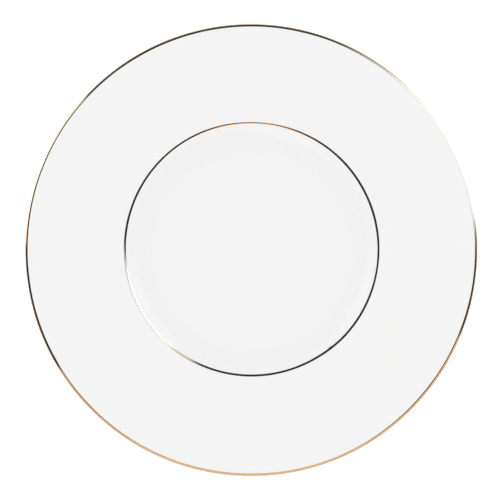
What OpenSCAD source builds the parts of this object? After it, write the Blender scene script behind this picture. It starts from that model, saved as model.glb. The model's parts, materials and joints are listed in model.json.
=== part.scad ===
// Round china dinner plate with a wide rim, a shallow well and a foot ring.
// The fired body carries two glaze coats and two fired gold lines. Millimetres, +Z up.
// The origin is the centre of the plate, on the table plane under the foot ring.

/* [Plate] */
// Diameter over the glazed lip
plate_d = 270; // [255:1:285]
// Thickness of the glazed lip
lip_t = 3.1; // [2.8:0.1:3.6]
// Slope of the rim just outside the well, in degrees
rim_slope_inner = 6; // [4:0.5:8]
// Slope of the rim at the lip, in degrees
rim_slope_outer = 9; // [9:0.5:12]
// How much steeper the back of the rim is than its face, in degrees
rim_taper = 0.7; // [0.4:0.1:1]
// Share of the rim's width that is gently curved between the two slopes
rim_curve = 0.75; // [0.4:0.05:0.75]

/* [Well] */
// Height of the glazed well floor above the table
floor_z = 6.4; // [6:0.1:7.2]
// Diameter of the shoulder where the well meets the rim
verge_d = 150.6; // [145:0.2:165]
// Depth from the shoulder to the well floor, before rounding
well_depth = 6.6; // [5.5:0.1:7]
// Slope of the well wall, in degrees
wall_slope = 38; // [34:1:42]
// Thickness of the body through the well wall
wall_t = 3.9; // [3.4:0.1:4.2]
// Radius between the well floor and its wall
well_r = 13; // [8:1:13]
// Radius of the shoulder on the face
shoulder_r = 6; // [4:0.5:6.5]
// Radius of the shoulder on the back
back_shoulder_r = 9; // [6:1:9]

/* [Foot ring] */
// How far inside the shoulder the middle of the foot ring stands
foot_inset = 6.3; // [5:0.1:7]
// Width of the land that the plate stands on, before rounding
land_w = 2.1; // [1.8:0.1:2.5]
// Lean of both sides of the foot ring, in degrees
foot_lean = 14; // [8:1:20]
// Radius of the two edges of the land
land_r = 0.5; // [0.3:0.1:0.7]
// Radius where the foot ring meets the back of the wall
foot_root_r = 2.5; // [1.5:0.5:3]
// Height of the glazed base above the table, inside the foot ring
base_z = 2.4; // [2.2:0.1:2.8]
// Radius where the foot ring meets the base
base_r = 1.8; // [1:0.1:2]

/* [Glaze and gold] */
// Thickness of the glaze
glaze_t = 0.3; // [0.25:0.05:0.4]
// Height above the table where the glaze stops on the foot ring
glaze_stop = 1.1; // [0.9:0.1:1.3]
// Thickness of the gold
gold_t = 0.15; // [0.15:0.05:0.2]
// Width of the gold band around the lip, seen from above
band_w = 1.8; // [1.7:0.1:3]
// Width of the gold line on the shoulder, seen from above
line_w = 1.2; // [0.8:0.1:1.6]
// How far outside the shoulder's corner the middle of the gold line runs
line_shift = 0.7; // [0:0.1:1]

/* [Hidden] */

// Largest gap between a true round and the short cones that stand for it
curve_gap = 0.01;
// Facets round the plate in a preview
round_fn = 180;

plate_r = plate_d / 2;
verge_r = verge_d / 2;
foot_r = verge_r - foot_inset;
body_r = plate_r - glaze_t;
body_floor_z = floor_z - glaze_t;
body_base_z = base_z + glaze_t;
line_r = verge_r + line_shift;
back_slope_inner = rim_slope_inner + rim_taper;
back_slope_outer = rim_slope_outer + rim_taper;

// Radius of the slow curve along the rim
rim_r = rim_curve * (body_r - verge_r) / 2 / tan((rim_slope_outer - rim_slope_inner) / 2);

// Half the angle turned by each round of the lip, and the radius that makes the two one round
lip_top_turn = (90 + rim_slope_outer) / 2;
lip_back_turn = (90 - back_slope_outer) / 2;
body_lip_r = lip_t / 2 - glaze_t;
lip_edge_h = body_lip_r * (tan(lip_top_turn) + tan(lip_back_turn));

// Corners of the face of the unglazed body, before rounding
shoulder = [verge_r, body_floor_z + well_depth];
well_corner = [verge_r - well_depth / tan(wall_slope), body_floor_z];
rim_middle = along(shoulder, rim_slope_inner, (body_r + verge_r) / 2);
lip_top = along(rim_middle, rim_slope_outer, body_r);

// Corners of its back
lip_back = lip_top - [0, lip_edge_h];
back_middle = along(lip_back, back_slope_outer, rim_middle.x);
wall_back = shoulder + wall_t * [sin(wall_slope), -cos(wall_slope)];
back_shoulder = meeting(back_middle, back_slope_inner, wall_back, wall_slope);
land_outer = [foot_r + land_w / 2, 0];
land_inner = [foot_r - land_w / 2, 0];
foot_root = meeting(wall_back, wall_slope, land_outer, 90 - foot_lean);
base_corner = [land_inner.x - body_base_z * tan(foot_lean), body_base_z];

// The whole section as [corner, radius], from the axis out along the face and home along the back
CORNERS = [
    [[0, body_floor_z], 0],
    [well_corner, well_r],
    [shoulder, shoulder_r],
    [rim_middle, rim_r],
    [lip_top, body_lip_r],
    [lip_back, body_lip_r],
    [back_middle, rim_r],
    [back_shoulder, back_shoulder_r],
    [foot_root, foot_root_r],
    [land_outer, land_r],
    [land_inner, land_r],
    [base_corner, base_r],
    [[0, body_base_z], 0]
];
LAST = len(CORNERS) - 1;

// The point at radius x on a line through p that rises outward at the slope
function along(p, slope, x) = [x, p.y + (x - p.x) * tan(slope)];

// Where a line through p at one slope meets a line through q at another
function meeting(p, p_slope, q, q_slope) =
    along(p, p_slope, (q.y - p.y + p.x * tan(p_slope) - q.x * tan(q_slope)) / (tan(p_slope) - tan(q_slope)));

function unit(v) = v / norm(v);
function left_of(v) = [-v.y, v.x];
function turned(v, a) = [v.x * cos(a) - v.y * sin(a), v.x * sin(a) + v.y * cos(a)];

// Direction of the section's straight side from corner i to the next
function side(i) = unit(CORNERS[i + 1][0] - CORNERS[i][0]);

// Corner i moved outward with both its sides
function moved(i, d) =
    let (
        before = left_of(side(max(i - 1, 0))),
        after = left_of(side(min(i, LAST - 1)))
    )
    CORNERS[i][0] + d * (before + after) / (1 + before * after);

// The points of the round at corner i once both its sides have moved outward
function rounded(i, d) =
    let (
        along_in = side(i - 1),
        along_out = side(i),
        turn = atan2(cross(along_in, along_out), along_in * along_out),
        r = CORNERS[i][1] - sign(turn) * d,
        start = moved(i, d) - r * tan(abs(turn) / 2) * along_in,
        centre = start + sign(turn) * r * left_of(along_in),
        steps = ceil(abs(turn) / (2 * acos(1 - curve_gap / r)))
    )
    [for (k = [0 : steps]) centre + turned(start - centre, turn * k / steps)];

// Half the plate's section, grown outward by d from the unglazed body
function outline(d) = [
    moved(0, d),
    for (i = [1 : LAST - 1]) each rounded(i, d),
    moved(LAST, d)
];

// A skin on the body, between two distances out from it
module skin(inner, outer) {
    difference() {
        polygon(outline(outer));
        polygon(outline(inner));
    }
}

// Everything in the section from one corner to the other
module window(low, high) {
    translate(low) square(high - low);
}

module revolved() {
    rotate_extrude($fn = round_fn) children();
}

// The one-piece fired body. Its foot land is ground flat and bare.
module china_body() {
    color("ivory") revolved() polygon(outline(0));
}

// Clear glaze over the face, round the lip and down the back to the side of the foot ring
module glaze_coat() {
    color("white") revolved() difference() {
        skin(0, glaze_t);
        window([-1, -1], [foot_r, (base_z + floor_z) / 2]);
        window([foot_r - 1, -1], [back_shoulder.x, glaze_stop]);
    }
}

// The same glaze on the base inside the foot ring
module base_glaze() {
    color("white") revolved() intersection() {
        skin(0, glaze_t);
        window([0, glaze_stop], [foot_r, (base_z + floor_z) / 2]);
    }
}

// Gold fired over the glaze all round the lip, on the face, the edge and the back
module rim_gold_band() {
    color("goldenrod") revolved() intersection() {
        skin(glaze_t, glaze_t + gold_t);
        window([plate_r - band_w, 0], [plate_r + 1, lip_top.y + lip_t]);
    }
}

// Gold line fired over the glaze on the shoulder of the well
module verge_gold_line() {
    color("goldenrod") revolved() intersection() {
        skin(glaze_t, glaze_t + gold_t);
        window([line_r - line_w / 2, shoulder.y - 1], [line_r + line_w / 2, shoulder.y + 1]);
    }
}

china_body();
glaze_coat();
base_glaze();
rim_gold_band();
verge_gold_line();
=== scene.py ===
"""A round china dinner plate with two gold lines, seen from straight above on a plain white table.

The plate stands on its foot ring, on z = 0, and is turned about the Z axis. Lengths are in metres.
Each visible piece is turned from the half section that the CAD model has, with finer rounds, a slightly
uneven surface as on hand-glazed ware, and gold edges as a brush leaves them.
"""

import json
import math
from bisect import bisect_right

import bmesh
import bpy
from mathutils import Matrix, Vector, noise


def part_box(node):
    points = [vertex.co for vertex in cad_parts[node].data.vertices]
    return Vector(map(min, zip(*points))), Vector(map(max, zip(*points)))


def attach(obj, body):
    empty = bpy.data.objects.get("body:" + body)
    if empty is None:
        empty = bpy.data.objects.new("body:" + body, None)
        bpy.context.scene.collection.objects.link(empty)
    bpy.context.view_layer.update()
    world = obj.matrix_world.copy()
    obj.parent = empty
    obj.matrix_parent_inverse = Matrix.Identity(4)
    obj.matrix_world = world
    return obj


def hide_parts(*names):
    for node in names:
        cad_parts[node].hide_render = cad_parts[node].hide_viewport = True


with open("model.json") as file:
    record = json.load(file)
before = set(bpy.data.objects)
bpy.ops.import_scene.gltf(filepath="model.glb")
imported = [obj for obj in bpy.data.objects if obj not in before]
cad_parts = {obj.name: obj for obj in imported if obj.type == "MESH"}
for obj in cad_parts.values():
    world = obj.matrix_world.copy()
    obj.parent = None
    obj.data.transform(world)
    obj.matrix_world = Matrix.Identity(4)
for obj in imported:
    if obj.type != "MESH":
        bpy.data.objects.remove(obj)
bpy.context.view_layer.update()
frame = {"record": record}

MM = 0.001
BODY = "root"
MOUNTS = {mount["name"]: mount["pos_m"] for mount in frame["record"]["mounts"]}

# The painted line's width, and how far outside the shoulder's corner its middle runs
LINE_W = 1.2 * MM
LINE_SHIFT = 0.7 * MM

# The plate's main sizes, from the frame
PLATE_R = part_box("glaze_coat")[1].x
BODY_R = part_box("china_body")[1].x
GLAZE_T = PLATE_R - BODY_R
GLAZE_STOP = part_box("glaze_coat")[0].z
BODY_BASE_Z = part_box("base_glaze")[1].z
BODY_FLOOR_Z = MOUNTS["well_floor"][2] - GLAZE_T
FOOT_R = MOUNTS["foot_rest"][0]
LINE_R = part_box("verge_gold_line")[1].x - LINE_W / 2
VERGE_R = LINE_R - LINE_SHIFT

# The rest of the half section. Slopes are in degrees.
LIP_T = 3.1 * MM
RIM_SLOPE_INNER = 6
RIM_SLOPE_OUTER = 9
RIM_TAPER = 0.7
RIM_CURVE = 0.75
WELL_DEPTH = 6.6 * MM
WALL_SLOPE = 38
WALL_T = 3.9 * MM
WELL_R = 13 * MM
SHOULDER_R = 6 * MM
BACK_SHOULDER_R = 9 * MM
LAND_W = 2.1 * MM
FOOT_LEAN = 14
LAND_R = 0.5 * MM
FOOT_ROOT_R = 2.5 * MM
BASE_R = 1.8 * MM
BAND_W = 1.8 * MM

# How finely the section is drawn and turned. Points crowd together at the ends of a straight side, so a
# side has CROWDING times as many of them as even steps would need.
SEGMENTS = 320
GOLD_SEGMENTS = 768
ROUND_STEP = math.radians(3)
GOLD_ROUND_STEP = ROUND_STEP / 3
LEAST_ROUND_STEPS = 6
STRAIGHT_STEP = 4 * MM
CROWDING = 1.5
BEAD_STEPS = 6
LINE_STEPS = 16
BAND_STEPS = 40

# The fired clay's warp: its height, the size of its waves, the share and number of finer waves on each,
# and the height above the table where it starts and the further height over which it grows to full
WARP_H = 0.05 * MM
WARP_SIZE = 55 * MM
WARP_FINE_SHARE = 0.25
WARP_FINE = 3
WARP_START = 2.5 * MM
WARP_FADE = 5 * MM

# The glaze: how far its stop line wanders on the foot and in how many waves, the seed of each coat's
# waves, the height of the rounded bead it stops in, and how far each coat reaches into the body
STOP_WAVE = 0.12 * MM
STOP_WAVES = 5
FACE_SEED = 3
BASE_SEED = 7
STOP_BEAD = 0.35 * MM
SINK = 0.05 * MM

# The gold: how far it stands out of the glaze, how deep its edges and its hidden root lie in the glaze,
# how wide the root is as a share of the stroke, and how late towards its edges the stroke falls away
GOLD_RISE = 0.010 * MM
GOLD_SINK = 0.006 * MM
GOLD_ROOT = 0.06 * MM
GOLD_ROOT_SHARE = 0.94
GOLD_FALL_POWER = 10

# How far a stroke's edges waver, and more on the back of the lip, and the waves' number and seed on each
# edge. PLAY is how much of a stroke's track is kept free beside each edge.
GOLD_WAVE = 0.05 * MM
BACK_WAVE = 2 * GOLD_WAVE
LINE_INNER_WAVES = (9, 11)
LINE_OUTER_WAVES = (8, 23)
BAND_FACE_WAVES = (7, 31)
BAND_BACK_WAVES = (6, 43)
BAND_PLAY = 0.3 * MM
LINE_PLAY = 1.2 * MM


# ---- The half section, as (point, outward normal) from the axis along the face and home along the back ----


def rise(slope):
    """How much a slope in degrees rises for each metre outward."""
    return math.tan(math.radians(slope))


def along(point, slope, x):
    """The point at radius x on a line through point that rises outward at the slope."""
    return Vector((x, point.y + (x - point.x) * rise(slope)))


def meeting(p, p_slope, q, q_slope):
    """Where a line through p at one slope meets a line through q at another."""
    x = (q.y - p.y + p.x * rise(p_slope) - q.x * rise(q_slope)) / (rise(p_slope) - rise(q_slope))
    return along(p, p_slope, x)


def left_of(v):
    """A vector of the section turned a quarter turn anticlockwise."""
    return Vector((-v.y, v.x))


def turned_by(v, angle):
    """A vector of the section turned by an angle in radians, anticlockwise."""
    c, s = math.cos(angle), math.sin(angle)
    return Vector((v.x * c - v.y * s, v.x * s + v.y * c))


def section_corners():
    """The corners of the unglazed body's half section, each with the radius that rounds it."""
    back_slope_inner = RIM_SLOPE_INNER + RIM_TAPER
    back_slope_outer = RIM_SLOPE_OUTER + RIM_TAPER
    rim_r = RIM_CURVE * (BODY_R - VERGE_R) / 2 / rise((RIM_SLOPE_OUTER - RIM_SLOPE_INNER) / 2)
    lip_r = LIP_T / 2 - GLAZE_T
    lip_edge_h = lip_r * (rise((90 + RIM_SLOPE_OUTER) / 2) + rise((90 - back_slope_outer) / 2))
    wall = math.radians(WALL_SLOPE)

    shoulder = Vector((VERGE_R, BODY_FLOOR_Z + WELL_DEPTH))
    well_corner = Vector((VERGE_R - WELL_DEPTH / math.tan(wall), BODY_FLOOR_Z))
    rim_middle = along(shoulder, RIM_SLOPE_INNER, (BODY_R + VERGE_R) / 2)
    lip_top = along(rim_middle, RIM_SLOPE_OUTER, BODY_R)
    lip_back = lip_top - Vector((0, lip_edge_h))
    back_middle = along(lip_back, back_slope_outer, rim_middle.x)
    wall_back = shoulder + WALL_T * Vector((math.sin(wall), -math.cos(wall)))
    back_shoulder = meeting(back_middle, back_slope_inner, wall_back, WALL_SLOPE)
    land_outer = Vector((FOOT_R + LAND_W / 2, 0))
    land_inner = Vector((FOOT_R - LAND_W / 2, 0))
    foot_root = meeting(wall_back, WALL_SLOPE, land_outer, 90 - FOOT_LEAN)
    base_corner = Vector((land_inner.x - BODY_BASE_Z * rise(FOOT_LEAN), BODY_BASE_Z))
    return {
        "floor_centre": (Vector((0, BODY_FLOOR_Z)), 0),
        "well_corner": (well_corner, WELL_R),
        "shoulder": (shoulder, SHOULDER_R),
        "rim_middle": (rim_middle, rim_r),
        "lip_top": (lip_top, lip_r),
        "lip_back": (lip_back, lip_r),
        "back_middle": (back_middle, rim_r),
        "back_shoulder": (back_shoulder, BACK_SHOULDER_R),
        "foot_root": (foot_root, FOOT_ROOT_R),
        "land_outer": (land_outer, LAND_R),
        "land_inner": (land_inner, LAND_R),
        "base_corner": (base_corner, BASE_R),
        "base_centre": (Vector((0, BODY_BASE_Z)), 0),
    }


CORNERS = section_corners()
ORDER = list(CORNERS)


def side(i):
    """Direction of the section's straight side from corner i to the next."""
    return (CORNERS[ORDER[i + 1]][0] - CORNERS[ORDER[i]][0]).normalized()


def rounded(i, step=ROUND_STEP):
    """The points of the round at corner i. The two ends of the section are plain points."""
    corner, radius = CORNERS[ORDER[i]]
    if radius == 0:
        return [(corner, left_of(side(min(i, len(ORDER) - 2))))]
    along_in, along_out = side(i - 1), side(i)
    turn = math.atan2(along_in.cross(along_out), along_in.dot(along_out))
    normal = left_of(along_in)
    start = corner - radius * math.tan(abs(turn) / 2) * along_in
    centre = start + math.copysign(radius, turn) * normal
    steps = max(LEAST_ROUND_STEPS, math.ceil(abs(turn) / step))
    normals = [turned_by(normal, turn * k / steps) for k in range(steps + 1)]
    return [(centre - math.copysign(radius, turn) * n, n) for n in normals]


def spaced(share, from_axis, to_axis):
    """Spreads points along a straight side: close together where it meets a round, wide apart elsewhere."""
    if from_axis:
        return math.sin(share * math.pi / 2)
    if to_axis:
        return 1 - math.cos(share * math.pi / 2)
    return (1 - math.cos(share * math.pi)) / 2


def stretch(first, last, step=ROUND_STEP):
    """The outline from one named corner to another, with both their rounds and the straight sides between."""
    points = rounded(ORDER.index(first), step)
    for i in range(ORDER.index(first) + 1, ORDER.index(last) + 1):
        arc = rounded(i, step)
        (p, normal), q = points[-1], arc[0][0]
        count = math.ceil(CROWDING * (q - p).length / STRAIGHT_STEP)
        for k in range(1, count):
            share = spaced(k / count, p.x == 0, q.x == 0)
            points.append((p.lerp(q, share), normal))
        points += arc
    return points


def offset(points, distance):
    """The same outline, moved out from the body."""
    return [point + distance * normal for point, normal in points]


# ---- Turning a section into a mesh ----


def ripple(angle, waves, seed):
    """A smooth uneven number from about -1 to 1 that comes back to itself after a full turn."""
    return noise.noise(Vector((math.cos(angle) * waves, math.sin(angle) * waves, seed)))


def gauss(x, width):
    """1 where x is 0, falling to nothing beyond about twice the width on both sides."""
    return math.exp(-((x / width) ** 2))


def warped(point, angle):
    """A point of the section in the plate's frame, with the warp of fired clay. The foot stays flat."""
    x, y = point.x * math.cos(angle), point.x * math.sin(angle)
    fade = min(1.0, max(0.0, (point.y - WARP_START) / WARP_FADE))
    slow = noise.noise(Vector((x, y, 0)) / WARP_SIZE)
    fine = noise.noise(Vector((x, y, 1)) * WARP_FINE / WARP_SIZE)
    return Vector((x, y, point.y + WARP_H * fade * (slow + WARP_FINE_SHARE * fine)))


def placed(name, data):
    """An object that holds the data, in the scene."""
    made = bpy.data.objects.new(name, data)
    bpy.context.scene.collection.objects.link(made)
    return made


def solid(name, bm):
    """An object with the mesh that bm holds. bm is freed."""
    mesh = bpy.data.meshes.new(name)
    bm.to_mesh(mesh)
    bm.free()
    return placed(name, mesh)


def quads(ring, next_ring, closed):
    """Faces between two neighbouring sections, given as lists of vertices."""
    count = len(ring)
    pairs = [(k, (k + 1) % count) for k in range(count if closed else count - 1)]
    return [(ring[a], ring[b], next_ring[b], next_ring[a]) for a, b in pairs]


def turned(name, section_at, segments, closed=False):
    """A closed mesh turned about the axis. section_at gives the section's points at an angle.
    An open section starts and ends on the axis, and a closed one is a ring that stays clear of it."""
    bm = bmesh.new()
    angles = [2 * math.pi * k / segments for k in range(segments)]
    sections = [section_at(angle) for angle in angles]
    poles = [] if closed else [bm.verts.new((0, 0, sections[0][i].y)) for i in (0, -1)]
    rings = []
    for angle, section in zip(angles, sections):
        inner = section if closed else section[1:-1]
        rings.append([bm.verts.new(warped(point, angle)) for point in inner])
    for k, ring in enumerate(rings):
        next_ring = rings[(k + 1) % segments]
        for corners in quads(ring, next_ring, closed):
            bm.faces.new(corners)
        if not closed:
            bm.faces.new((poles[0], ring[0], next_ring[0]))
            bm.faces.new((poles[1], next_ring[-1], ring[-1]))
    bmesh.ops.recalc_face_normals(bm, faces=bm.faces)
    for face in bm.faces:
        face.smooth = True
    return solid(name, bm)


# ---- The pieces ----


def fired_body():
    """The china body, as it leaves the first firing. Only the ground land of the foot ring shows."""
    section = offset(stretch(ORDER[0], ORDER[-1]), 0)
    return turned("fired_body", lambda angle: section, SEGMENTS)


def bead(foot_corner, normal, lean, stop):
    """The rounded edge where a coat of glaze stops on a side of the foot ring, from the coat's surface in."""
    edge = []
    for k in range(BEAD_STEPS + 1):
        turn = k / BEAD_STEPS * math.pi / 2
        z = stop + STOP_BEAD * (1 - math.sin(turn))
        edge.append(Vector((foot_corner.x + z * lean, z)) + GLAZE_T * math.cos(turn) * normal)
    edge.append(edge[-1] - SINK * normal)
    return edge


def coat(name, points, foot_corner, normal, lean, seed):
    """A coat of glaze over a stretch of the body, from the axis to a stop line on the foot ring.
    Its hidden inner surface has half the points."""
    outer = offset(points, GLAZE_T)
    inner = offset(points[::2], -SINK)[::-1]

    def section_at(angle):
        stop = GLAZE_STOP + STOP_WAVE * (0.5 + 0.5 * ripple(angle, STOP_WAVES, seed))
        return outer + bead(foot_corner, normal, lean, stop) + inner

    return turned(name, section_at, SEGMENTS)


def face_coat():
    """The glaze over the face, round the lip and down the back to the outer side of the foot ring."""
    foot_side = left_of(side(ORDER.index("foot_root")))
    points = stretch("floor_centre", "foot_root")
    return coat("face_glaze", points, CORNERS["land_outer"][0], foot_side, rise(FOOT_LEAN), FACE_SEED)


def base_coat():
    """The glaze on the base, inside the foot ring."""
    foot_side = left_of(side(ORDER.index("land_inner")))
    points = stretch("base_corner", "base_centre")[::-1]
    return coat("underside_glaze", points, CORNERS["land_inner"][0], foot_side, -rise(FOOT_LEAN), BASE_SEED)


def lengths(track):
    """How far along the track each of its points lies."""
    marks = [0.0]
    for (p, _), (q, _) in zip(track, track[1:]):
        marks.append(marks[-1] + (q - p).length)
    return marks


def at_length(track, marks, s):
    """The point and the outward normal at a distance along the track."""
    i = min(max(bisect_right(marks, s), 1), len(marks) - 1)
    share = (s - marks[i - 1]) / (marks[i] - marks[i - 1])
    (p, p_normal), (q, q_normal) = track[i - 1], track[i]
    return p.lerp(q, share), p_normal.lerp(q_normal, share).normalized()


def between(track, low_r, high_r):
    """The part of a track whose points lie between two radii, with exact ends."""
    marks = lengths(track)
    kept = [(p, n) for p, n in track if low_r < p.x < high_r]
    ends = []
    for i, ((p, _), (q, _)) in enumerate(zip(track, track[1:])):
        for r in (low_r, high_r):
            if min(p.x, q.x) <= r < max(p.x, q.x):
                share = (r - p.x) / (q.x - p.x)
                ends.append(at_length(track, marks, marks[i] + share * (marks[i + 1] - marks[i])))
    return [ends[0]] + kept + [ends[-1]]


def stroke(name, track, edges_at, steps):
    """A line of gold painted along a track on the glaze. edges_at gives where its two edges run at an angle.
    It is flat across the middle, falls away at the edges, and is rooted in the glaze under it."""
    marks = lengths(track)
    across = [math.sin(math.pi * (k / steps - 0.5)) for k in range(steps + 1)]
    under = [GOLD_ROOT_SHARE * u for u in across[1:-1:2]][::-1]

    def section_at(angle):
        start, end = edges_at(angle)
        middle, half = (start + end) / 2, (end - start) / 2
        section = []
        for u, sunk in [(u, False) for u in across] + [(u, True) for u in under]:
            point, normal = at_length(track, marks, middle + half * u)
            fall = (GOLD_RISE + GOLD_SINK) * abs(u) ** GOLD_FALL_POWER
            height = -GOLD_ROOT if sunk else GOLD_RISE - fall
            section.append(point + height * normal)
        return section

    return turned(name, section_at, GOLD_SEGMENTS, closed=True)


# The line's painted circle: how far off centre it runs and towards where, and how oval it is and along
# which diameter
LINE_DRIFT = 0.78 * MM
LINE_DRIFT_AIM = math.radians(66)
LINE_OVAL = 0.12 * MM
LINE_OVAL_AIM = math.radians(-29)

# Where the painter set the brush down for the line: how far the mark runs round the plate and how far it
# reaches in and out, and the step between the stroke's two ends, which dies away on both sides
LINE_START = math.radians(-51)
LINE_MARK = math.radians(0.9)
LINE_MARK_IN = 0.26 * MM
LINE_MARK_OUT = 0.05 * MM
LINE_STEP = 0.19 * MM
LINE_STEP_SPREAD = math.radians(8)
LINE_STEP_REACH = 4 * LINE_STEP_SPREAD

# The same for the band, on its inner edge
BAND_START = math.radians(-151)
BAND_MARK = math.radians(1.4)
BAND_MARK_IN = 0.1 * MM
BAND_STEP = 0.1 * MM
BAND_STEP_REACH = 12 * BAND_MARK

# Where the brush ran thin: azimuth and spread in degrees, and mm lost on the inner and the outer edge.
# Where a loss is negative, the brush ran wide.
LINE_THINS = (
    (-9, 15, 0.08, 0.12),
    (125, 24, 0.2, 0.0),
    (84, 24, -0.12, 0.55),
    (-125, 15, 0.0, -0.14),
)
BAND_THINS = (
    (-8, 12, 0.10, 0),
    (146, 18, 0.20, 0),
    (27, 22, 0.22, 0),
    (-94, 12, -0.12, 0),
    (-46, 12, -0.15, 0),
    (-173, 8, -0.08, 0),
)


def apart(angle, other):
    """The signed angle from other to angle, from -pi to pi."""
    return (angle - other + math.pi) % (2 * math.pi) - math.pi


def lost(thins, angle):
    """The widths that the thin places take off the inner and the outer edge at an angle."""
    inner_lost, outer_lost = 0.0, 0.0
    for azimuth, spread, inner, outer in thins:
        share = gauss(apart(angle, math.radians(azimuth)), math.radians(spread))
        inner_lost += inner * MM * share
        outer_lost += outer * MM * share
    return inner_lost, outer_lost


def verge_line():
    """The gold line on the shoulder, painted a little off centre. Its ends overlap in a mark inward."""
    face = [(p + GLAZE_T * n, n) for p, n in stretch("well_corner", "rim_middle", GOLD_ROUND_STEP)]
    track = between(face, LINE_R - LINE_W / 2 - LINE_PLAY, LINE_R + LINE_W / 2 + LINE_PLAY)
    full = lengths(track)[-1]

    def edges_at(angle):
        away = apart(angle, LINE_START)
        mark = gauss(away, LINE_MARK)
        step = LINE_STEP * math.tanh(away / LINE_STEP_SPREAD) * gauss(away, LINE_STEP_REACH)
        drift = LINE_DRIFT * math.cos(angle - LINE_DRIFT_AIM)
        oval = LINE_OVAL * math.cos(2 * (angle - LINE_OVAL_AIM))
        off = drift + oval + step
        inner_lost, outer_lost = lost(LINE_THINS, angle)
        inner_wave = GOLD_WAVE * ripple(angle, *LINE_INNER_WAVES)
        outer_wave = GOLD_WAVE * ripple(angle, *LINE_OUTER_WAVES)
        start = LINE_PLAY + off + inner_wave - LINE_MARK_IN * mark + inner_lost
        end = full - LINE_PLAY + off + outer_wave + LINE_MARK_OUT * mark - outer_lost
        return start, end

    return stroke("shoulder_gold_line", track, edges_at, LINE_STEPS)


def lip_band():
    """The gold band round the lip, from the face over the edge to the back."""
    lip = [(p + GLAZE_T * n, n) for p, n in stretch("rim_middle", "back_middle", GOLD_ROUND_STEP)]
    track = between(lip, PLATE_R - BAND_W - BAND_PLAY, math.inf)
    full = lengths(track)[-1]

    def edges_at(angle):
        away = apart(angle, BAND_START)
        mark = gauss(away, BAND_MARK)
        step = BAND_STEP * (0.5 + 0.5 * math.tanh(away / BAND_MARK)) * gauss(away, BAND_STEP_REACH)
        inner_lost, outer_lost = lost(BAND_THINS, angle)
        face_wave = GOLD_WAVE * ripple(angle, *BAND_FACE_WAVES)
        back_wave = BACK_WAVE * ripple(angle, *BAND_BACK_WAVES)
        start = BAND_PLAY + face_wave - BAND_MARK_IN * mark + step + inner_lost
        end = full - BAND_PLAY + back_wave - outer_lost
        return start, end

    return stroke("lip_gold_band", track, edges_at, BAND_STEPS)


# ---- Materials ----

# Colours. Clouds of tone in the glaze run between cool and warm, and gold is redder where it is thin.
GLAZE_COOL = (0.868, 0.870, 0.872)
GLAZE_WARM = (0.873, 0.872, 0.869)
SPECK = (0.45, 0.36, 0.26)
BISQUE_DARK = (0.74, 0.71, 0.66)
BISQUE_LIGHT = (0.84, 0.82, 0.78)
GOLD_THIN = (0.93, 0.66, 0.36)
GOLD_FULL = (0.96, 0.73, 0.42)

# Noise stays mostly between these, and a sum of two noises between the second two
NOISE_LOW, NOISE_HIGH = 0.3, 0.7
SUM_LOW, SUM_HIGH = 0.35, 0.65

# The glaze: sizes of its clouds and smears, size and height of its swell and of its orange peel, and how
# rough it is where it is clean and where it is smeared
CLOUD_SIZE = 60 * MM
SMEAR_SIZE = 18 * MM
SWELL_SIZE = 9 * MM
SWELL_H = 0.012 * MM
PEEL_SIZE = 1.6 * MM
PEEL_H = 0.0025 * MM
GLAZE_ROUGH = (0.025, 0.055)
GLAZE_IOR = 1.5

# Specks lie one to a cell at most: the cells' size, the speck's full and faded radius as shares of it,
# and the share of cells that have one, on the face and on the base
SPECK_CELL = 7 * MM
SPECK_CORE, SPECK_EDGE = 0.01, 0.025
FACE_SPECKS = 0.004
BASE_SPECKS = 0.02

# The ground foot: how often the wheel's rings change round the foot, their width and their share in the
# surface, the size of its grain, the height of both, and its roughness
RING_TURNS = 3
RING_W = 0.12 * MM
RING_SHARE = 0.5
SAND_SIZE = 0.25 * MM
GROUND_H = 0.03 * MM
BISQUE_ROUGH = (0.5, 0.75)

# The gold: how often its streaks and its thin patches change round the plate, and their widths, the
# patches' share in its tone, the streaks' height, and its roughness
STREAK_TURNS = 4
STREAK_W = 0.14 * MM
PATCH_TURNS = 9
PATCH_W = 1.5 * MM
PATCH_SHARE = 0.55
STREAK_H = 0.004 * MM
GOLD_ROUGH = (0.05, 0.1)

# Sockets of a Mix node that mixes two colours
MIX_FIRST, MIX_SECOND, MIX_RESULT = 6, 7, 2


def new_material(name):
    """A material, its node tree and its Principled shader."""
    material = bpy.data.materials.new(name)
    material.use_nodes = True
    return material, material.node_tree, material.node_tree.nodes["Principled BSDF"]


def node(tree, kind, inputs=(), **settings):
    """A node with its settings made, and its inputs set to values or linked to other nodes' outputs."""
    made = tree.nodes.new("ShaderNode" + kind)
    for name, value in settings.items():
        setattr(made, name, value)
    for socket, value in dict(inputs).items():
        if isinstance(value, bpy.types.NodeSocket):
            tree.links.new(value, made.inputs[socket])
        else:
            made.inputs[socket].default_value = value
    return made


def feed(tree, shader, **sockets):
    """Links outputs to a shader's sockets, which are named with _ for a space."""
    for socket, output in sockets.items():
        tree.links.new(output, shader.inputs[socket.replace("_", " ")])


def math_node(tree, operation, *values):
    """The output of a Math node, whose inputs are values or outputs."""
    return node(tree, "Math", dict(enumerate(values)), operation=operation).outputs[0]


def vector_node(tree, operation, *vectors):
    """The outputs of a vector operation, "Vector" and "Value"."""
    return node(tree, "VectorMath", dict(enumerate(vectors)), operation=operation).outputs


def ranged(tree, value, low, high, to_low, to_high, **settings):
    """Value from low..high carried to to_low..to_high and held at its ends."""
    names = ("Value", "From Min", "From Max", "To Min", "To Max")
    inputs = dict(zip(names, (value, low, high, to_low, to_high)))
    return node(tree, "MapRange", inputs, **settings).outputs[0]


def from_noise(tree, value, low=0, high=1):
    """A noise carried to low..high."""
    return ranged(tree, value, NOISE_LOW, NOISE_HIGH, low, high)


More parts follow.
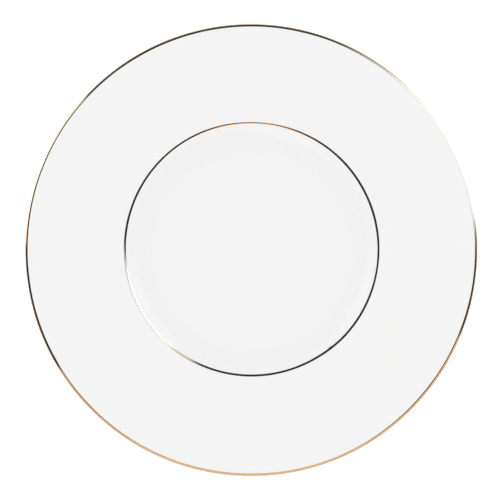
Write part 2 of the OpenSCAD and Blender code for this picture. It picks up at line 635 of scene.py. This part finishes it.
def blended(tree, factor, low, high):
    """A colour from low to high by a factor from 0 to 1."""
    ramp = node(tree, "ValToRGB", {"Fac": factor})
    ramp.color_ramp.elements[0].color = (*low, 1)
    ramp.color_ramp.elements[1].color = (*high, 1)
    return ramp.outputs["Color"]


def grain(tree, vector, size, detail=2.0):
    """Noise from 0 to 1 whose features are about the given size, in the vector's own unit."""
    inputs = {"Vector": vector, "Scale": 1 / size, "Detail": detail}
    return node(tree, "TexNoise", inputs).outputs[0]


def bumps(tree, height, depth, under=None):
    """A bumpy normal, with height from 0 to 1 over a depth in metres."""
    inputs = {"Height": height, "Distance": depth}
    if under is not None:
        inputs["Normal"] = under
    return node(tree, "Bump", inputs).outputs["Normal"]


def place(tree):
    """The point in the plate's frame."""
    return node(tree, "TexCoord").outputs["Object"]


def round_place(tree, turns, across):
    """Coordinates for marks that run round the plate: stretched along its turn, fine across it."""
    point = place(tree)
    parts = node(tree, "SeparateXYZ", {0: point}).outputs
    level = vector_node(tree, "MULTIPLY", point, (1, 1, 0))["Vector"]
    radius = vector_node(tree, "LENGTH", level)["Value"]
    inputs = {}
    for axis in ("X", "Y"):
        aim = math_node(tree, "DIVIDE", parts[axis], radius)
        inputs[axis] = math_node(tree, "MULTIPLY", aim, turns)
    depth = math_node(tree, "ADD", radius, parts["Z"])
    inputs["Z"] = math_node(tree, "DIVIDE", depth, across)
    return node(tree, "CombineXYZ", inputs).outputs[0]


def specks(tree, point, share):
    """A factor that is 1 on the specks and 0 between them."""
    cells = node(tree, "TexVoronoi", {"Vector": point, "Scale": 1 / SPECK_CELL}).outputs
    pick = node(tree, "SeparateColor", {0: cells["Color"]}).outputs[0]
    rare = math_node(tree, "LESS_THAN", pick, share)
    near = ranged(tree, cells["Distance"], SPECK_CORE, SPECK_EDGE, 1, 0)
    return math_node(tree, "MULTIPLY", rare, near)


def glaze_material(name, speck_share):
    """Gloss glaze over white china: a soft orange-peel surface, faint clouds of tone, rare tiny specks."""
    material, tree, shader = new_material(name)
    point = place(tree)
    clouds = from_noise(tree, grain(tree, point, CLOUD_SIZE))
    tone = blended(tree, clouds, GLAZE_COOL, GLAZE_WARM)
    inputs = {0: specks(tree, point, speck_share), MIX_FIRST: tone, MIX_SECOND: (*SPECK, 1)}
    colour = node(tree, "Mix", inputs, data_type="RGBA").outputs[MIX_RESULT]
    rough = from_noise(tree, grain(tree, point, SMEAR_SIZE, 3), *GLAZE_ROUGH)
    swell = bumps(tree, grain(tree, point, SWELL_SIZE), SWELL_H)
    peel = bumps(tree, grain(tree, point, PEEL_SIZE, 1), PEEL_H, swell)
    feed(tree, shader, Base_Color=colour, Roughness=rough, Normal=peel)
    shader.inputs["IOR"].default_value = GLAZE_IOR
    return material


def bisque_material():
    """Unglazed china, ground smooth on the foot: matt, with a fine grain and the wheel's faint rings."""
    material, tree, shader = new_material("bisque")
    rings = grain(tree, round_place(tree, RING_TURNS, RING_W), 1, 2)
    sand = grain(tree, place(tree), SAND_SIZE, 3)
    grainy = math_node(tree, "MULTIPLY", sand, 1 - RING_SHARE)
    mixed = math_node(tree, "MULTIPLY_ADD", rings, RING_SHARE, grainy)
    colour = blended(tree, from_noise(tree, mixed), BISQUE_DARK, BISQUE_LIGHT)
    rough = from_noise(tree, sand, *BISQUE_ROUGH)
    feed(tree, shader, Base_Color=colour, Roughness=rough, Normal=bumps(tree, mixed, GROUND_H))
    return material


def gold_material():
    """Bright fired gold with the fine streaks of the banding brush, and thinner, redder stretches."""
    material, tree, shader = new_material("fired_gold")
    streaks = grain(tree, round_place(tree, STREAK_TURNS, STREAK_W), 1, 3)
    patches = grain(tree, round_place(tree, PATCH_TURNS, PATCH_W), 1, 2)
    patchy = math_node(tree, "MULTIPLY", patches, PATCH_SHARE)
    tone = math_node(tree, "MULTIPLY_ADD", streaks, 1 - PATCH_SHARE, patchy)
    colour = blended(tree, ranged(tree, tone, SUM_LOW, SUM_HIGH, 0, 1), GOLD_THIN, GOLD_FULL)
    rough = from_noise(tree, streaks, *GOLD_ROUGH)
    feed(tree, shader, Base_Color=colour, Roughness=rough, Normal=bumps(tree, streaks, STREAK_H))
    shader.inputs["Metallic"].default_value = 1
    return material


# ---- The stage: table, surroundings, lights and camera ----

CENTRE = Vector((0, 0, 0))
UP = Vector((0, 0, 1))
WHITE = (1, 1, 1, 1)

# The table, which lies just under the foot. It is greyer to what mirrors it, and it glows a little: the
# lift keeps it white to the camera, and the fill lights the back of the plate.
TABLE_SIZE = 12.0
TABLE_GAP = 0.02 * MM
TABLE_WHITE = (0.85, 0.85, 0.85)
TABLE_MIRRORED = (0.5, 0.5, 0.5)
TABLE_ROUGH = 0.9
TABLE_LIFT = 0.5
TABLE_FILL = 0.2

# The studio: how bright it is behind the plate, and as light from overhead and from the sides. In
# reflections it is a dark room over a bright horizon. One fades into the other between two heights, each
# the sine of an angle above the table.
BACKDROP = 1.2
OVERHEAD_LIGHT = 0.91575
SIDE_LIGHT = 1.332
DARK_ROOM = (0.040, 0.032, 0.050)
HORIZON = (0.9, 0.9, 0.9)
HORIZON_LOW, HORIZON_HIGH = 0.02, 0.1

# The room that the glaze mirrors: its even glow, and round lights as azimuth, zenith angle and spread in
# degrees, and strength
ROOM_RADIUS = 5.0
ROOM_FACETS = 3
ROOM_GLOW = 0.6
ROOM_LIGHTS = ((28, 80, 30, 0.5), (158, 80, 28, 0.5), (250, 80, 26, 0.5))

# Tones of light, for gold: blue ones come back from it white
SKY_TONE = (0.45, 0.60, 1.00)
CLEAR_TONE = (0.58, 0.70, 1.00)
PALE_TONE = (0.70, 0.81, 1.00)
GLINT_TONE = (0.28, 0.48, 1.00)
WARM_TONE = (0.78, 0.625, 0.56)
EMBER_TONE = (0.90, 0.50, 0.15)

# How far the window, the strip, the warm corner and the warm lamp stand from the plate, and where the
# glints lie on the table beside it
WINDOW_FAR = 1.5
STRIP_FAR = 1.3
CORNER_FAR = 1.9
LAMP_FAR = 2.0
GLINT_R = 330 * MM
GLINT_LIFT = 2 * MM

# Cards above the lip: how far out the side one stands and where it aims, the place of the front one, and
# their height
SIDE_CARD_R = 245 * MM
SIDE_CARD_AIM_R = 150 * MM
FRONT_CARD_X = 3 * MM
FRONT_CARD_Y = -158 * MM
CARD_H = 250 * MM

# The middle of the warm wall, which is square to the Y axis
WALL_X = 320 * MM
WALL_Y = -750 * MM
WALL_Z = 800 * MM

# The power of a flat light per square metre, for each unit of its radiance
POWER_PER_RADIANCE = math.pi

# The camera looks straight down on the lip, with the plate a little left of the frame's middle
CAMERA_HEIGHT = 1.5
CAMERA_X = -0.70 * MM
CAMERA_Y = 0.07 * MM
CLIP_NEAR, CLIP_FAR = 0.01, 20
SENSOR = 36 * MM
FRAME_WIDTH = 298.1 * MM


def direction(azimuth, zenith):
    """A unit vector by degrees about Z from +X, and degrees from straight up."""
    a, z = math.radians(azimuth), math.radians(zenith)
    return Vector((math.cos(a) * math.sin(z), math.sin(a) * math.sin(z), math.cos(z)))


def group(name, *pieces):
    """A collection of pieces, for a light that only they receive."""
    made = bpy.data.collections.new(name)
    for piece in pieces:
        made.objects.link(piece)
    return made


def table():
    """A plain table top: white to the camera, and greyer in the plate's reflections."""
    half = TABLE_SIZE / 2
    mesh = bpy.data.meshes.new("table")
    corners = [(-half, -half, 0), (half, -half, 0), (half, half, 0), (-half, half, 0)]
    mesh.from_pydata(corners, [], [(0, 1, 2, 3)])
    top = placed("table", mesh)
    top.location.z = -TABLE_GAP
    material, tree, shader = new_material("white_table")
    rays = node(tree, "LightPath").outputs
    colour = blended(tree, rays["Is Glossy Ray"], TABLE_WHITE, TABLE_MIRRORED)
    fill = math_node(tree, "MULTIPLY", rays["Is Diffuse Ray"], TABLE_FILL)
    glow = math_node(tree, "MULTIPLY_ADD", rays["Is Camera Ray"], TABLE_LIFT, fill)
    feed(tree, shader, Base_Color=colour, Emission_Strength=glow)
    shader.inputs["Emission Color"].default_value = WHITE
    shader.inputs["Roughness"].default_value = TABLE_ROUGH
    shader.inputs["Specular IOR Level"].default_value = 0
    mesh.materials.append(material)


def surround():
    """A white studio with even soft light. In reflections it is a dark room over a bright horizon."""
    world = bpy.data.worlds.new("studio")
    world.use_nodes = True
    world.cycles.sampling_method = "NONE"
    tree = world.node_tree
    tree.nodes.clear()
    rays = node(tree, "LightPath").outputs
    height = node(tree, "SeparateXYZ", {0: node(tree, "TexCoord").outputs["Generated"]}).outputs["Z"]
    room = blended(tree, ranged(tree, height, HORIZON_LOW, HORIZON_HIGH, 0, 1), HORIZON, DARK_ROOM)
    soft = ranged(tree, height, 0, 1, SIDE_LIGHT, OVERHEAD_LIGHT)
    backdrop, light, mirror = (
        node(tree, "Background", {"Color": colour, "Strength": strength}).outputs[0]
        for colour, strength in ((WHITE, BACKDROP), (WHITE, soft), (room, 1.0))
    )
    undiffused = math_node(tree, "LESS_THAN", rays["Diffuse Depth"], 0.5)
    mirrored = math_node(tree, "MULTIPLY", rays["Is Glossy Ray"], undiffused)
    seen = node(tree, "MixShader", {0: mirrored, 1: light, 2: mirror}).outputs[0]
    final = node(tree, "MixShader", {0: rays["Is Camera Ray"], 1: seen, 2: backdrop}).outputs[0]
    node(tree, "OutputWorld", {"Surface": final})
    bpy.context.scene.world = world


def room_glow(tree):
    """The room's brightness by direction: even, and more in soft round lights."""
    aim = vector_node(tree, "NORMALIZE", place(tree))["Vector"]
    glow = ROOM_GLOW
    for azimuth, zenith, spread, strength in ROOM_LIGHTS:
        near = vector_node(tree, "DOT_PRODUCT", aim, direction(azimuth, zenith))["Value"]
        rim = math.cos(math.radians(spread))
        soft = ranged(tree, near, rim, 1.0, 0.0, strength, interpolation_type="SMOOTHERSTEP")
        glow = math_node(tree, "ADD", glow, soft)
    return glow


def mirrored_room(glazed):
    """What only the glaze mirrors: an even bright room, with soft round lights low around the plate."""
    bm = bmesh.new()
    bmesh.ops.create_icosphere(bm, subdivisions=ROOM_FACETS, radius=ROOM_RADIUS)
    room = solid("mirrored_room", bm)
    material, tree, _ = new_material("mirrored_room")
    shine = node(tree, "Emission", {"Strength": room_glow(tree)}).outputs[0]
    through = node(tree, "BsdfTransparent").outputs[0]
    both = node(tree, "AddShader", {0: shine, 1: through}).outputs[0]
    tree.links.new(both, tree.nodes["Material Output"].inputs["Surface"])
    material.cycles.emission_sampling = "NONE"
    room.data.materials.append(material)
    room.visible_camera = False
    room.visible_diffuse = False
    room.visible_shadow = False
    room.light_linking.receiver_collection = glazed


def panel(name, centre, aim, size, radiance, tone, receivers):
    """A flat soft light at centre that faces aim, unseen by the camera. Its size is (width, height)."""
    light = bpy.data.lights.new(name, "AREA")
    light.shape = "RECTANGLE"
    light.size, light.size_y = size
    light.color = tone
    light.energy = radiance * size[0] * size[1] * POWER_PER_RADIANCE
    lamp = placed(name, light)
    facing = (aim - centre).normalized()
    turn = facing.to_track_quat("-Z", "Y").to_matrix().to_4x4()
    lamp.matrix_world = Matrix.Translation(centre) @ turn
    lamp.visible_camera = False
    lamp.light_linking.receiver_collection = receivers


def far_panel(name, azimuth, zenith, distance, size, radiance, tone, receivers):
    """A panel that stands at a distance from the plate's centre and faces it."""
    panel(name, direction(azimuth, zenith) * distance, CENTRE, size, radiance, tone, receivers)


def glint(name, azimuth, size, radiance, receivers):
    """A card on the table beside the plate. It faces up, and lights the lower half of the lip's edge."""
    centre = direction(azimuth, 90) * GLINT_R + UP * GLINT_LIFT
    panel(name, centre, centre + UP, size, radiance, GLINT_TONE, receivers)


# The gold's lights, each with its place, its (width, height), its radiance and its tone. A far panel's place
# is its azimuth and zenith angle in degrees and its distance, and a glint's is its azimuth.


def cool_lights(gilded):
    """What the gold mirrors as white: a window of sky to the right, a low strip to the left, and glints."""
    over = direction(33, 90)
    card, lip_under = over * SIDE_CARD_R + UP * CARD_H, over * SIDE_CARD_AIM_R
    far_panel("window_low", 28, 64, WINDOW_FAR, (1.03, 1.1), 2.3, SKY_TONE, gilded)
    far_panel("window_high", 26.5, 33, WINDOW_FAR, (0.64, 0.62), 2.0, SKY_TONE, gilded)
    panel("window_lip", card, lip_under, (0.22, 0.16), 0.66, PALE_TONE, gilded)
    glint("window_glint", 33, (0.3, 0.32), 2.2, gilded)
    far_panel("window_spill", 54.5, 40, WINDOW_FAR, (0.3, 1.2), 0.8, CLEAR_TONE, gilded)
    far_panel("low_strip", 156, 76, STRIP_FAR, (0.83, 0.6), 2.1, PALE_TONE, gilded)
    far_panel("strip_end", 176.4, 76, STRIP_FAR, (0.1, 0.6), 1.7, WARM_TONE, gilded)
    glint("strip_glint", 160, (0.32, 0.32), 1.6, gilded)
    glint("top_glint", 78, (0.3, 0.32), 0.8, gilded)
    glint("front_glint", -75, (0.36, 0.32), 0.8, gilded)


def warm_lights(gilded):
    """What the gold mirrors as orange, in front: a wall and its corner, a card over the lip, and a lamp."""
    wall, wall_aim = Vector((WALL_X, WALL_Y, WALL_Z)), Vector((WALL_X, 0, WALL_Z))
    card = Vector((FRONT_CARD_X, FRONT_CARD_Y, CARD_H))
    panel("warm_wall", wall, wall_aim, (3.05, 1.6), 0.95, WARM_TONE, gilded)
    far_panel("warm_corner", -38, 60, CORNER_FAR, (0.9, 1.0), 0.35, WARM_TONE, gilded)
    panel("warm_card", card, card - UP * CARD_H, (0.244, 0.115), 0.75, WARM_TONE, gilded)
    far_panel("warm_lamp", -90, 22, LAMP_FAR, (0.5, 0.3), 0.8, EMBER_TONE, gilded)


def camera():
    """The camera, straight above the plate."""
    lens = bpy.data.cameras.new("camera")
    lens.sensor_width = SENSOR / MM
    lens.lens = CAMERA_HEIGHT / FRAME_WIDTH * SENSOR / MM
    lens.clip_start, lens.clip_end = CLIP_NEAR, CLIP_FAR
    seen = placed("camera", lens)
    seen.location = (CAMERA_X, CAMERA_Y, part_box("glaze_coat")[1].z + CAMERA_HEIGHT)
    bpy.context.scene.camera = seen


# ---- The whole ----


def dress(piece, material, slot, *nodes):
    """Gives a piece its material and its place in the frame."""
    piece.data.materials.append(material)
    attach(piece, BODY)
    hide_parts(*nodes)
    return piece


camera()
gold = gold_material()
dress(fired_body(), bisque_material(), "china_body", "china_body")
face = dress(face_coat(), glaze_material("glaze", FACE_SPECKS), "glaze", "glaze_coat")
back = dress(base_coat(), glaze_material("base_glaze", BASE_SPECKS), "glaze", "base_glaze")
lip = dress(lip_band(), gold, "gold", "rim_gold_band")
line = dress(verge_line(), gold, "gold", "verge_gold_line")
gilded = group("gilded", lip, line)
table()
surround()
mirrored_room(group("glazed", face, back))
cool_lights(gilded)
warm_lights(gilded)
bpy.context.scene.view_settings.view_transform = "Standard"
